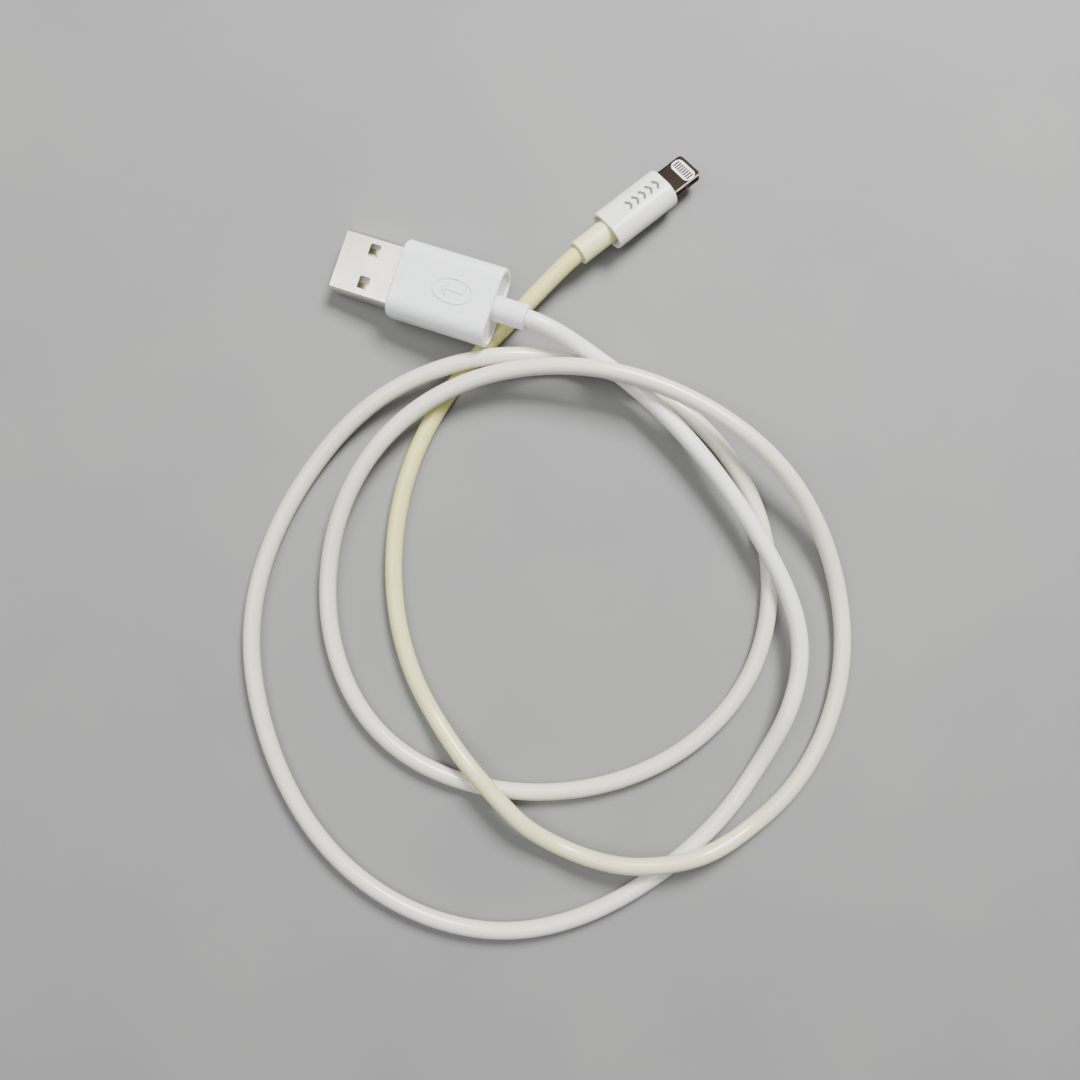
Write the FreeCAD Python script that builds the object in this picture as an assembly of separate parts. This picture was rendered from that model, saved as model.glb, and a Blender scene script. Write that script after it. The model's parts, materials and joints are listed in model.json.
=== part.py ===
"""Charging cable lying in three loose loops, with an A-type plug and an eight-contact phone plug.

Frame: +Z up, the resting surface at z = 0, the origin under the middle of the coil's outline.
Both plugs are built in their own frame (x towards the tip, y across, z up, origin at the middle of the
housing's front face) and then placed. The cord follows one centre line, cut where the model bends.
"""
import FreeCAD
import Part
import math
import os

from FreeCAD import Placement, Rotation, Vector

# ---------------------------------------------------------------------------- driving dimensions, mm
FIT_GAP = 0.04            # between fitted pieces
CUT_GAP = 0.30            # between the cord's ends at a bending place

# cord, from the outside in
JACKET_RADIUS = 1.65
JACKET_BORE = 1.25
BRAID_RADIUS = 1.14
BRAID_BORE = 1.02
WIRE_RING = 0.55          # from the cord's middle to the middle of each wire
WIRE_RADIUS = {"red": 0.36, "white": 0.30, "green": 0.30, "black": 0.36}
WIRE_BORE = {"red": 0.27, "white": 0.21, "green": 0.21, "black": 0.27}
CORE_RADIUS = {"red": 0.17, "white": 0.11, "green": 0.11, "black": 0.17}

# height of the cord's middle: just clear of the surface, over one strand, over two
ON_FLOOR = JACKET_RADIUS + 0.065
OVER_ONE = ON_FLOOR + 3.42
OVER_TWO = ON_FLOOR + 6.90

# A-type plug
USB_FRONT = Vector(-28.25, 51.83, 4.445)
USB_YAW, USB_PITCH, USB_ROLL = 161.0, 9.3, 0.0
USB_HOUSING = {"length": 20.1, "width": 15.2, "height": 8.0, "side_radius": 3.2, "wall": 0.8}
USB_FRONT_WALL = 1.2
USB_HOUSING_EDGE = 0.45   # rounding of the housing's front and back edges
USB_BOOT = {"length": 6.1, "radius": 2.45, "bore": 1.75, "plate": 1.6, "recess": 0.45, "edge": 0.25}
USB_SHELL = {"front": 12.2, "back": -8.6, "width": 12.0, "height": 4.5, "wall": 0.30, "radius": 0.55}
USB_WINDOW = {"from_tip": 6.4, "across": 3.25, "length": 2.3, "width": 2.5, "radius": 0.35}
USB_TONGUE = {"front": 11.3, "back": -6.6, "width": 11.2, "top": -0.10, "thickness": 1.80, "corner": 0.15}
# place across the tongue and front end of each contact blade
USB_CONTACTS = {
    "power": (3.5, 10.6), "data_minus": (1.0, 9.6), "data_plus": (-1.0, 9.6), "ground": (-3.5, 10.6),
}
USB_BLADE = {"width": 1.05, "thickness": 0.25, "back": -8.9}
USB_SHIELD = {"back": -14.2, "front": -3.0, "width": 12.6, "height": 5.1, "thickness": 0.20}
USB_MOLD = {"back": -13.2, "front": -9.1, "width": 11.4, "height": 4.3, "radius": 0.4}
USB_MOLD_CHANNEL = {"width": 9.4, "height": 2.6, "radius": 0.3}
USB_CRIMP = {"back": -17.4, "front": -14.9}
# where the jacket, the braid, the straight wires, the insulation and the copper stop inside the plug
USB_CORD_END = {"jacket": -14.8, "braid": -14.4, "fan": -14.3, "stripped": -9.7, "solder": -7.0}

# phone plug
PHONE_FRONT = Vector(22.61, 69.74, 3.525)
PHONE_YAW, PHONE_PITCH, PHONE_ROLL = 38.7, 5.5, -19.0
PHONE_HOUSING = {"length": 14.4, "width": 8.3, "height": 6.0, "wall": 0.50}
PHONE_FRONT_WALL = 0.8
PHONE_HOUSING_EDGES = {"front": 0.5, "back": 0.15}
PHONE_BOOT = {"length": 7.1, "radius": 2.42, "bore": 1.75, "inside": 1.2, "edge": 0.25}
PHONE_TAB = {"length": 6.7, "width": 6.65, "thickness": 1.5, "back": -3.0, "corner": 1.3}
PHONE_WINDOW = {"centre": 4.75, "length": 2.7, "width": 5.3, "radius": 1.1}
PHONE_CONTACTS = {"count": 8, "pitch": 0.57, "length": 1.55, "width": 0.28, "depth": 0.35, "sunk": 0.02}
PHONE_DETENT = {"from_tip": 3.4, "radius": 0.75, "depth": 0.30}
PHONE_SHOULDER = {"front": -0.85, "width": 6.9, "height": 3.2, "radius": 1.5}
PHONE_BOARD = {"front": 3.0, "back": -8.8, "width": 4.5, "thickness": 0.5}
PHONE_CHIP = {"back": -6.7, "front": -4.3, "width": 2.4, "thickness": 0.6}
PHONE_SHIELD = {"back": -10.5, "front": -3.1, "width": 6.2, "height": 3.6, "thickness": 0.15}
PHONE_MOLD = {"front": -10.7, "bore": 2.05}
PHONE_CRIMP = {"back": -13.0, "front": -11.6}
PHONE_CORD_END = {"jacket": -11.5, "braid": -11.2, "fan": -11.1, "stripped": -9.0, "solder": -7.2}
PHONE_PADS = (-1.5, -0.5, 0.5, 1.5)     # across the board, one for each wire

CRIMP_WALL = 0.28
SHIELD_CORNER = 0.6
SHIELD_SPLIT = 0.05       # from the middle plane to the edge of each shield half
WIRE_STEP = 0.6           # spacing of the points that shape a fanned-out wire
PAST = 1.0                # how far a cutting tool reaches past what it cuts
SLIVER = 0.01             # flat left between two round sides, so that the section keeps its corners

# where the cord leaves each boot, in the plug's own frame
USB_MOUTH = -USB_HOUSING["length"] - USB_BOOT["length"]
PHONE_MOUTH = -PHONE_HOUSING["length"] - PHONE_BOOT["length"]

# ------------------------------------------------------------------------ course of the cord, in plan
# Corners of the course, from the A-type plug's boot round three loops to the phone plug's boot.
COURSE = [
    (4.5, 39.5), (41, 1.5), (48.5, -20), (44.5, -35.5), (35, -51), (23.5, -62), (-7.5, -74.5),
    (-38.5, -62.5), (-55.5, -33), (-57.5, -16), (-46, 15), (-34, 27.5), (-12, 36.5),
    (10.5, 35), (38, 13.5), (40, -23.5), (30, -36.5), (-1.5, -47.5),
    (-32.5, -36), (-42.5, -4.5), (-27, 25), (-6.5, 34),
    (47.5, 11.5), (57.5, -20), (43, -51.5), (19, -61), (-3.5, -54), (-10.5, -47), (-24.5, -28), (-26.5, 16),
    (-13, 38), (1.1, 52.0),
]
# (distance along the cord, height of its middle): it climbs over a strand and comes down again.
HEIGHTS = [
    (18, OVER_ONE), (95, OVER_ONE), (112, ON_FLOOR), (285, ON_FLOOR), (318, OVER_ONE), (332, OVER_ONE),
    (352, ON_FLOOR), (540, ON_FLOOR), (578, ON_FLOOR + 3.95), (600, ON_FLOOR + 4.75), (622, OVER_TWO),
    (650, OVER_TWO), (690, ON_FLOOR), (735, ON_FLOOR), (750, OVER_ONE), (762, OVER_ONE),
    (777, ON_FLOOR + 1.55), (788, OVER_ONE), (798, OVER_ONE), (815, ON_FLOOR), (893, ON_FLOOR),
]
# Bending places, as distances along the cord.
USB_LEAD_END = 9.0
OUTER_LOOP = (610.0, 757.0)
FIRST_LEFT_ARC = (186.0, 318.5)
SECOND_LEFT_ARC = (500.0, 584.5)
PHONE_LEAD_START = 904.5

CORD_SPAN = 7.0           # longest stretch of cord that one pair of bends follows


# ---------------------------------------------------------------------------------- placing and saving
USB_PLACE = Placement(USB_FRONT, Rotation(USB_YAW, USB_PITCH, USB_ROLL))
PHONE_PLACE = Placement(PHONE_FRONT, Rotation(PHONE_YAW, PHONE_PITCH, PHONE_ROLL))


def placed(shape, place):
    """A copy of a plug piece, moved from the plug's own frame to the cable's."""
    moved = shape.copy()
    moved.Placement = place.multiply(moved.Placement)
    return moved


def save(name, solids):
    """One STEP file for one named piece, or for a group of alike pieces."""
    solids = solids if isinstance(solids, list) else [solids]
    shape = solids[0] if len(solids) == 1 else Part.makeCompound(solids)
    shape.exportStep("parts/" + name + ".step")


# --------------------------------------------------------------------------------------- plain shapes
def outline(width, height, radius, middle, across, upward):
    """A closed wire: a rectangle with round corners, centred on a point, in the plane of two directions."""
    flat_w, flat_h = width / 2 - radius, height / 2 - radius
    bulge = radius * math.sqrt(0.5)

    def at(a, b):
        return middle + across * a + upward * b

    edges = []
    for sa, sb in ((1, 1), (-1, 1), (-1, -1), (1, -1)):
        first = (sa * (flat_w + radius), sb * flat_h)
        last = (sa * flat_w, sb * (flat_h + radius))
        if sa * sb < 0:
            first, last = last, first
        mid = (sa * (flat_w + bulge), sb * (flat_h + bulge))
        edges.append((first, mid, last))
    wire = []
    for i, (first, mid, last) in enumerate(edges):
        wire.append(Part.Arc(at(*first), at(*mid), at(*last)).toShape())
        following = at(*edges[(i + 1) % 4][0])
        if (following - at(*last)).Length > 1e-6:
            wire.append(Part.LineSegment(at(*last), following).toShape())
    return Part.Wire(wire)


def bar(x0, x1, width, height, radius, y=0.0, z=0.0):
    """A solid along x with a round-cornered section."""
    section = outline(width, height, radius, Vector(x0, y, z), Vector(0, 1, 0), Vector(0, 0, 1))
    return Part.Face(section).extrude(Vector(x1 - x0, 0, 0))


def slab(length, width, radius, x, y, z0, z1):
    """A solid along z with a round-cornered plan."""
    plan = outline(length, width, radius, Vector(x, y, z0), Vector(1, 0, 0), Vector(0, 1, 0))
    return Part.Face(plan).extrude(Vector(0, 0, z1 - z0))


def block(x0, x1, y0, y1, z0, z1):
    return Part.makeBox(x1 - x0, y1 - y0, z1 - z0, Vector(x0, y0, z0))


def rod(x0, x1, radius, y=0.0, z=0.0):
    return Part.makeCylinder(radius, x1 - x0, Vector(x0, y, z), Vector(1, 0, 0))


def soften(solid, radius, x):
    """Rounds the edges that lie in the plane at x and belong to the outer contour."""
    box = solid.BoundBox
    reach = max(box.YLength, box.ZLength) * 0.5
    edges = []
    for edge in solid.Edges:
        b = edge.BoundBox
        flat = abs(b.XMin - x) < 1e-6 and abs(b.XMax - x) < 1e-6
        wide = max(abs(b.YMin), abs(b.YMax)) > reach * 0.8
        outer = wide or max(abs(b.ZMin), abs(b.ZMax)) > box.ZMax - 1e-6
        if flat and outer:
            edges.append(edge)
    return solid.makeFillet(radius, edges)


# ------------------------------------------------------------------------------- the cord's centre line
class CentreLine:
    """The cord's middle line: a smooth plan through COURSE, with its height from HEIGHTS."""

    def __init__(self, start, start_axis, end, end_axis):
        corners = [Vector(start.x, start.y, 0)]
        corners += [Vector(x, y, 0) for x, y in COURSE]
        corners.append(Vector(end.x, end.y, 0))
        chords = [0.0]
        for here, there in zip(corners, corners[1:]):
            chords.append(chords[-1] + (there - here).Length)
        plan = Part.BSplineCurve()
        plan.interpolate(
            Points=corners,
            Parameters=chords,
            InitialTangent=Vector(start_axis.x, start_axis.y, 0).normalize(),
            FinalTangent=Vector(end_axis.x, end_axis.y, 0).normalize(),
            Scale=False,
        )
        self.plan = plan.toShape()
        self.length = self.plan.Length
        stations = [(0.0, start.z, start_axis.z)]
        stations += [(s, z, 0.0) for s, z in HEIGHTS]
        stations.append((self.length, end.z, end_axis.z))
        self.stations = stations

    def height(self, s):
        """A cubic between neighbouring stations, level at each one except at the two boots."""
        i = 0
        while i < len(self.stations) - 2 and s > self.stations[i + 1][0]:
            i += 1
        s0, z0, slope0 = self.stations[i]
        s1, z1, slope1 = self.stations[i + 1]
        span = s1 - s0
        t = min(max((s - s0) / span, 0.0), 1.0)
        rise = 3 * t ** 2 - 2 * t ** 3
        leave = (t ** 3 - 2 * t ** 2 + t) * span * slope0
        arrive = (t ** 3 - t ** 2) * span * slope1
        return z0 + (z1 - z0) * rise + leave + arrive

    def at(self, s):
        s = min(max(s, 0.0), self.length)
        point = self.plan.valueAt(self.plan.getParameterByLength(s))
        return Vector(point.x, point.y, self.height(s))

    def heading(self, s):
        """The unit vector along the cord at s."""
        return (self.at(s + 0.2) - self.at(s - 0.2)).normalize()


def spread(s0, s1, step):
    """Evenly spaced distances from s0 to s1, no further apart than step."""
    count = max(3, math.ceil((s1 - s0) / step))
    return [s0 + (s1 - s0) * i / count for i in range(count + 1)]


def curve_through(points, axis):
    """A smooth curve that starts and ends along axis."""
    curve = Part.BSplineCurve()
    curve.interpolate(Points=points, InitialTangent=axis, FinalTangent=axis)
    return curve.toShape()


def tube(path, radius, bore=0.0):
    """A round solid along a path, hollow if it has a bore."""
    start = path.valueAt(path.FirstParameter)
    along = path.tangentAt(path.FirstParameter)
    rings = [Part.Wire(Part.Circle(start, along, radius).toShape())]
    if bore:
        rings.append(Part.Wire(Part.Circle(start, along, bore).toShape()))
    swept = Part.Wire([path]).makePipe(Part.Face(rings))
    return swept.Solids[0]


# ------------------------------------------------------------------------------------ pieces of the cord
def bend(start, heading, end):
    """The turn that carries a point from start, leaving along heading, to end: (centre, axis, degrees)."""
    chord = end - start
    ahead = chord.dot(heading)
    aside = chord - heading * ahead
    inward = Vector(aside).normalize()
    centre = start + inward * (chord.dot(chord) / (2 * aside.Length))
    return centre, heading.cross(inward), math.degrees(2 * math.atan2(aside.Length, ahead))


def bends(line, s0, s1):
    """The cord's middle line from s0 to s1 as a chain of circular bends, two to each span."""
    chain = []
    stations = spread(s0, s1, CORD_SPAN)
    for here, there in zip(stations, stations[1:]):
        start, end = line.at(here), line.at(there)
        leaving, arriving = line.heading(here), line.heading(there)
        chord, both = end - start, leaving + arriving
        spare = 2 * (1 - leaving.dot(arriving))
        reach = (math.sqrt(chord.dot(both) ** 2 + spare * chord.dot(chord)) - chord.dot(both)) / spare
        middle = (start + end + (leaving - arriving) * reach) * 0.5
        chain.append(bend(start, leaving, middle))
        centre, axis, _ = chain[-1]
        halfway = axis.cross(middle - centre).normalize()
        chain.append(bend(middle, halfway, end))
    return chain


def ring_at(line, s, radius, aside=0.0, above=0.0):
    """A circle across the cord at s, off its middle by aside and above."""
    ahead = line.heading(s)
    left = Vector(0, 0, 1).cross(ahead).normalize()
    centre = line.at(s) + left * aside + ahead.cross(left) * above
    return Part.Circle(centre, ahead, radius).toShape()


def carried_along(ring, chain):
    """The solid that a ring fills as it is carried through a chain of bends."""
    faces = [Part.Face(Part.Wire([ring])).reversed()]
    for centre, axis, degrees in chain:
        faces.append(ring.revolve(centre, axis, degrees))
        ring = ring.rotated(centre, axis, degrees)
    faces.append(Part.Face(Part.Wire([ring])))
    shell = Part.makeShell(faces)
    shell.sewShape()
    return Part.makeSolid(shell)


def cord_layer(line, s0, s1, radius, bore=0.0, aside=0.0, above=0.0):
    """A round layer of the cord from s0 to s1, hollow if it has a bore."""
    chain = bends(line, s0, s1)
    layer = carried_along(ring_at(line, s0, radius, aside, above), chain)
    if bore:
        layer = layer.cut(carried_along(ring_at(line, s0, bore, aside, above), chain))
    return layer


def wire_offset(index):
    """Where one of the four wires lies, across and above the cord's middle."""
    turn = math.radians(135 + 90 * index)
    return WIRE_RING * math.cos(turn), WIRE_RING * math.sin(turn)


def save_cord(line, body, stretches):
    """All the cord's layers along the stretches that belong to one moving body."""
    stretches = [(s0 + CUT_GAP / 2, s1 - CUT_GAP / 2) for s0, s1 in stretches]
    save(body + "_jacket", [cord_layer(line, *s, JACKET_RADIUS, JACKET_BORE) for s in stretches])
    save(body + "_braid", [cord_layer(line, *s, BRAID_RADIUS, BRAID_BORE) for s in stretches])
    cores = []
    for index, colour in enumerate(WIRE_RADIUS):
        place = wire_offset(index)
        size = WIRE_RADIUS[colour], WIRE_BORE[colour]
        save(body + "_wire_" + colour, [cord_layer(line, *s, *size, *place) for s in stretches])
        cores += [cord_layer(line, *s, CORE_RADIUS[colour], 0.0, *place) for s in stretches]
    save(body + "_copper_cores", cores)


def save_lead(line, body, s0, s1):
    """A short stretch next to a plug; its four wires are one group."""
    s0, s1 = s0 + CUT_GAP / 2, s1 - CUT_GAP / 2
    save(body + "_jacket", cord_layer(line, s0, s1, JACKET_RADIUS, JACKET_BORE))
    save(body + "_braid", cord_layer(line, s0, s1, BRAID_RADIUS, BRAID_BORE))
    wires = []
    for index, colour in enumerate(WIRE_RADIUS):
        wires.append(cord_layer(line, s0, s1, WIRE_RADIUS[colour], WIRE_BORE[colour], *wire_offset(index)))
    save(body + "_wires", wires)


def ease(t):
    """Goes smoothly from 0 to 1."""
    t = min(max(t, 0.0), 1.0)
    return t * t * (3 - 2 * t)


def end_wires(mouth, end, targets, side):
    """The four wires inside a plug: straight in the cord's end, then fanned out to (y, z) targets.

    side is 1 if the cord's left is the plug's left, -1 if it is the plug's right."""
    insulated, cores = [], []
    for index, (colour, target) in enumerate(zip(WIRE_RADIUS, targets)):
        aside, above = wire_offset(index)
        start = (side * aside, above)

        def at(x):
            share = ease((x - end["fan"]) / (end["stripped"] - end["fan"]))
            return Vector(x, *(a + (b - a) * share for a, b in zip(start, target)))

        along = Vector(1, 0, 0)
        straight = spread(mouth + CUT_GAP / 2, end["fan"], CORD_SPAN)[:-1]
        fanned = spread(end["fan"], end["stripped"], WIRE_STEP)
        path = curve_through([at(x) for x in straight + fanned], along)
        insulated.append(tube(path, WIRE_RADIUS[colour], WIRE_BORE[colour]))
        bare = spread(end["stripped"], end["solder"], 1.0)
        path = curve_through([at(x) for x in straight + fanned[:-1] + bare], along)
        cores.append(tube(path, CORE_RADIUS[colour]))
    return insulated, cores


def straight_end(mouth, end):
    """The cord's jacket and braid inside a plug's boot."""
    start = mouth + CUT_GAP / 2
    jacket = rod(start, end["jacket"], JACKET_RADIUS)
    braid = rod(start, end["braid"], BRAID_RADIUS)
    return jacket.cut(rod(start - PAST, PAST, JACKET_BORE)), braid.cut(rod(start - PAST, PAST, BRAID_BORE))


# --------------------------------------------------------------------------------------- A-type plug
def usb_housing():
    """The moulded sleeve: closed at the front round the metal shell, open at the back."""
    h, s = USB_HOUSING, USB_SHELL
    outer = bar(-h["length"], 0, h["width"], h["height"], h["side_radius"])
    outer = soften(outer, USB_HOUSING_EDGE, 0)
    outer = soften(outer, USB_HOUSING_EDGE, -h["length"])
    wall = h["wall"]
    inside = bar(
        -h["length"] - PAST, -USB_FRONT_WALL,
        h["width"] - 2 * wall, h["height"] - 2 * wall, h["side_radius"] - wall,
    )
    mouth = bar(
        -USB_FRONT_WALL - PAST, PAST,
        s["width"] + 2 * FIT_GAP, s["height"] + 2 * FIT_GAP, s["radius"] + FIT_GAP,
    )
    return outer.cut(inside).cut(mouth)


def usb_boot():
    """The cord's strain relief, moulded with the plate that closes the housing's back."""
    h, b = USB_HOUSING, USB_BOOT
    back = -h["length"] + b["recess"]
    wall = h["wall"] + FIT_GAP
    width, height = h["width"] - 2 * wall, h["height"] - 2 * wall
    plate = bar(back, back + b["plate"], width, height, h["side_radius"] - wall)
    sleeve = rod(USB_MOUTH, back + b["plate"] / 2, b["radius"])
    sleeve = soften(sleeve, b["edge"], USB_MOUTH)
    bore = rod(USB_MOUTH - PAST, back + b["plate"] + PAST, b["bore"])
    return plate.fuse(sleeve).removeSplitter().cut(bore)


def usb_shell():
    """The folded metal shell, with two square windows in the top and two in the bottom."""
    s, w = USB_SHELL, USB_WINDOW
    outer = bar(s["back"], s["front"], s["width"], s["height"], s["radius"])
    wall = s["wall"]
    hollow = bar(
        s["back"] - PAST, s["front"] + PAST,
        s["width"] - 2 * wall, s["height"] - 2 * wall, s["radius"] - wall,
    )
    shell = outer.cut(hollow)
    for side in (-1, 1):
        hole = slab(
            w["length"], w["width"], w["radius"], s["front"] - w["from_tip"], side * w["across"],
            -s["height"], s["height"],
        )
        shell = shell.cut(hole)
    return shell


def usb_blade(y, front):
    """A contact blade, lying in its groove in the tongue, with its solder tail at the back."""
    b = USB_BLADE
    top = USB_TONGUE["top"]
    return block(b["back"], front, y - b["width"] / 2, y + b["width"] / 2, top - b["thickness"], top)


def usb_tongue():
    """The plastic tongue in the lower half of the shell, with a groove for each blade."""
    t, b = USB_TONGUE, USB_BLADE
    middle = t["top"] - t["thickness"] / 2
    tongue = bar(t["back"], t["front"], t["width"], t["thickness"], t["corner"], 0.0, middle)
    for y, front in USB_CONTACTS.values():
        groove = block(
            t["back"] - PAST, front + FIT_GAP,
            y - b["width"] / 2 - FIT_GAP, y + b["width"] / 2 + FIT_GAP,
            t["top"] - b["thickness"] - FIT_GAP, t["top"] + PAST,
        )
        tongue = tongue.cut(groove)
    return tongue


def shield_half(shield, side):
    """One half of a pressed shield: a channel, open towards the other half."""
    back, front, width, height = (shield[key] for key in ("back", "front", "width", "height"))
    thickness = shield["thickness"]
    outer = bar(back, front, width, height, SHIELD_CORNER)
    inner = bar(
        back - PAST, front + PAST,
        width - 2 * thickness, height - 2 * thickness, SHIELD_CORNER - thickness,
    )
    z0, z1 = sorted((side * SHIELD_SPLIT, side * height))
    return outer.cut(inner).common(block(back - PAST, front + PAST, -width, width, z0, z1))


def usb_inner_mold():
    """The plastic block that holds the solder joints, with a channel for the wires."""
    m, c = USB_MOLD, USB_MOLD_CHANNEL
    mold = bar(m["back"], m["front"], m["width"], m["height"], m["radius"])
    return mold.cut(bar(m["back"] - PAST, m["front"] + PAST, c["width"], c["height"], c["radius"]))


def crimp_ring(crimp):
    """The ring that clamps the cord's end."""
    inner = JACKET_RADIUS + FIT_GAP
    ring = rod(crimp["back"], crimp["front"], inner + CRIMP_WALL)
    return ring.cut(rod(crimp["back"] - PAST, crimp["front"] + PAST, inner))


def save_plug(prefix, place, pieces):
    """Saves a plug's pieces, moved to the plug's place on the cable."""
    for name, solids in pieces.items():
        solids = solids if isinstance(solids, list) else [solids]
        save(prefix + name, [placed(solid, place) for solid in solids])


def save_usb_plug():
    pieces = {
        "housing": usb_housing(),
        "boot": usb_boot(),
        "shell": usb_shell(),
        "tongue": usb_tongue(),
        "shield_upper": shield_half(USB_SHIELD, 1),
        "shield_lower": shield_half(USB_SHIELD, -1),
        "inner_mold": usb_inner_mold(),
        "crimp_ring": crimp_ring(USB_CRIMP),
    }
    for name, (y, front) in USB_CONTACTS.items():
        pieces["contact_" + name] = usb_blade(y, front)
    targets = []
    for (y, _), radius in zip(USB_CONTACTS.values(), CORE_RADIUS.values()):
        targets.append((y, USB_TONGUE["top"] + radius + FIT_GAP))
    pieces["end_jacket"], pieces["end_braid"] = straight_end(USB_MOUTH, USB_CORD_END)
    pieces["end_wires"], pieces["end_cores"] = end_wires(USB_MOUTH, USB_CORD_END, targets, -1)
    save_plug("usb_", USB_PLACE, pieces)


# ---------------------------------------------------------------------------------------- phone plug
def phone_housing():
    """The slim sleeve with fully round sides: a slot for the tab in front, open at the back."""
    h, t, edges = PHONE_HOUSING, PHONE_TAB, PHONE_HOUSING_EDGES
    half_round = h["height"] / 2 - SLIVER
    outer = bar(-h["length"], 0, h["width"], h["height"], half_round)
    outer = soften(outer, edges["front"], 0)
    outer = soften(outer, edges["back"], -h["length"])
    wall = h["wall"]
    inside = bar(
        -h["length"] - PAST, -PHONE_FRONT_WALL,
        h["width"] - 2 * wall, h["height"] - 2 * wall, half_round - wall,
    )
    slot = bar(
        -PHONE_FRONT_WALL - PAST, PAST,
        t["width"] + 2 * FIT_GAP, t["thickness"] + 2 * FIT_GAP, t["thickness"] / 2,
    )
    return outer.cut(inside).cut(slot)


def phone_boot():
    """The round strain relief, which starts inside the housing's open back."""
    h, b = PHONE_HOUSING, PHONE_BOOT
    sleeve = soften(rod(PHONE_MOUTH, -h["length"] + b["inside"], b["radius"]), b["edge"], PHONE_MOUTH)
    return sleeve.cut(rod(PHONE_MOUTH - PAST, 0, b["bore"]))


def phone_inner_mold():
    """The plug of plastic that holds the cord's end in the middle of the housing."""
    h, m = PHONE_HOUSING, PHONE_MOLD
    gap = h["wall"] + FIT_GAP
    back = -h["length"] + PHONE_BOOT["inside"] + FIT_GAP
    half_round = h["height"] / 2 - SLIVER - gap
    mold = bar(back, m["front"], h["width"] - 2 * gap, h["height"] - 2 * gap, half_round)
    return mold.cut(rod(back - PAST, m["front"] + PAST, m["bore"]))


def phone_tab():
    """The metal tab: a window for the contact insert, a notch in each side, and a channel for the board."""
    t, w, d, b, s = PHONE_TAB, PHONE_WINDOW, PHONE_DETENT, PHONE_BOARD, PHONE_SHOULDER
    tab = bar(t["back"], t["length"], t["width"], t["thickness"], t["thickness"] / 2 - SLIVER)
    reach = 2 * t["length"]
    plan = slab(reach, t["width"], t["corner"], t["length"] - reach / 2, 0, -t["thickness"], t["thickness"])
    tab = tab.common(plan)
    shoulder = bar(t["back"], s["front"], s["width"], s["height"], s["radius"])
    tab = tab.fuse(shoulder).removeSplitter()
    window = slab(w["length"], w["width"], w["radius"], w["centre"], 0, -t["thickness"], t["thickness"])
    tab = tab.cut(window)
    for side in (-1, 1):
        middle = side * (t["width"] / 2 + d["radius"] - d["depth"])
        foot = Vector(t["length"] - d["from_tip"], middle, -t["thickness"])
        tab = tab.cut(Part.makeCylinder(d["radius"], 2 * t["thickness"], foot))
    half_width = b["width"] / 2 + FIT_GAP
    half_height = b["thickness"] / 2 + FIT_GAP
    channel = block(
        t["back"] - PAST, b["front"] + FIT_GAP, -half_width, half_width, -half_height, half_height
    )
    return tab.cut(channel)


def contact_places():
    c = PHONE_CONTACTS
    return [(i - (c["count"] - 1) / 2) * c["pitch"] for i in range(c["count"])]


def phone_insert():
    """The white insert that fills the window, with a groove for each contact in both faces."""
    w, c = PHONE_WINDOW, PHONE_CONTACTS
    face = PHONE_TAB["thickness"] / 2
    length, width = w["length"] - 2 * FIT_GAP, w["width"] - 2 * FIT_GAP
    insert = slab(length, width, w["radius"] - FIT_GAP, w["centre"], 0, -face, face)
    half_length = c["length"] / 2 + FIT_GAP
    half_width = c["width"] / 2 + FIT_GAP
    bottom = face - c["depth"] - FIT_GAP
    for y in contact_places():
        for z0, z1 in ((bottom, face + PAST), (-face - PAST, -bottom)):
            x0, x1 = w["centre"] - half_length, w["centre"] + half_length
            insert = insert.cut(block(x0, x1, y - half_width, y + half_width, z0, z1))
    return insert


def phone_contacts(side):
    """The eight flat contacts in one face of the insert."""
    c = PHONE_CONTACTS
    face = PHONE_TAB["thickness"] / 2
    x0, x1 = PHONE_WINDOW["centre"] - c["length"] / 2, PHONE_WINDOW["centre"] + c["length"] / 2
    z0, z1 = sorted((side * (face - c["depth"]), side * (face - c["sunk"])))
    return [block(x0, x1, y - c["width"] / 2, y + c["width"] / 2, z0, z1) for y in contact_places()]


def chip(side):
    """A small chip on one face of the board."""
    c = PHONE_CHIP
    near = PHONE_BOARD["thickness"] / 2 + FIT_GAP
    z0, z1 = sorted((side * near, side * (near + c["thickness"])))
    return block(c["back"], c["front"], -c["width"] / 2, c["width"] / 2, z0, z1)


def circuit_board():
    b = PHONE_BOARD
    half_width, half_height = b["width"] / 2, b["thickness"] / 2
    return block(b["back"], b["front"], -half_width, half_width, -half_height, half_height)


def save_phone_plug():
    pieces = {
        "housing": phone_housing(),
        "boot": phone_boot(),
        "tab": phone_tab(),
        "insert": phone_insert(),
        "contacts_upper": phone_contacts(1),
        "contacts_lower": phone_contacts(-1),
        "circuit_board": circuit_board(),
        "chip_upper": chip(1),
        "chip_lower": chip(-1),
        "shield_upper": shield_half(PHONE_SHIELD, 1),
        "shield_lower": shield_half(PHONE_SHIELD, -1),
        "inner_mold": phone_inner_mold(),
        "crimp_ring": crimp_ring(PHONE_CRIMP),
    }
    targets = []
    for y, radius in zip(PHONE_PADS, CORE_RADIUS.values()):
        targets.append((y, PHONE_BOARD["thickness"] / 2 + radius + FIT_GAP))
    pieces["end_jacket"], pieces["end_braid"] = straight_end(PHONE_MOUTH, PHONE_CORD_END)
    pieces["end_wires"], pieces["end_cores"] = end_wires(PHONE_MOUTH, PHONE_CORD_END, targets, 1)
    save_plug("phone_", PHONE_PLACE, pieces)


# ------------------------------------------------------------------------------------------ the cable
def cord_centre_line():
    usb_axis = USB_PLACE.Rotation.multVec(Vector(-1, 0, 0))
    phone_axis = PHONE_PLACE.Rotation.multVec(Vector(1, 0, 0))
    start = USB_PLACE.multVec(Vector(USB_MOUTH, 0, 0))
    end = PHONE_PLACE.multVec(Vector(PHONE_MOUTH, 0, 0))
    return CentreLine(start, usb_axis, end, phone_axis)


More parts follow.
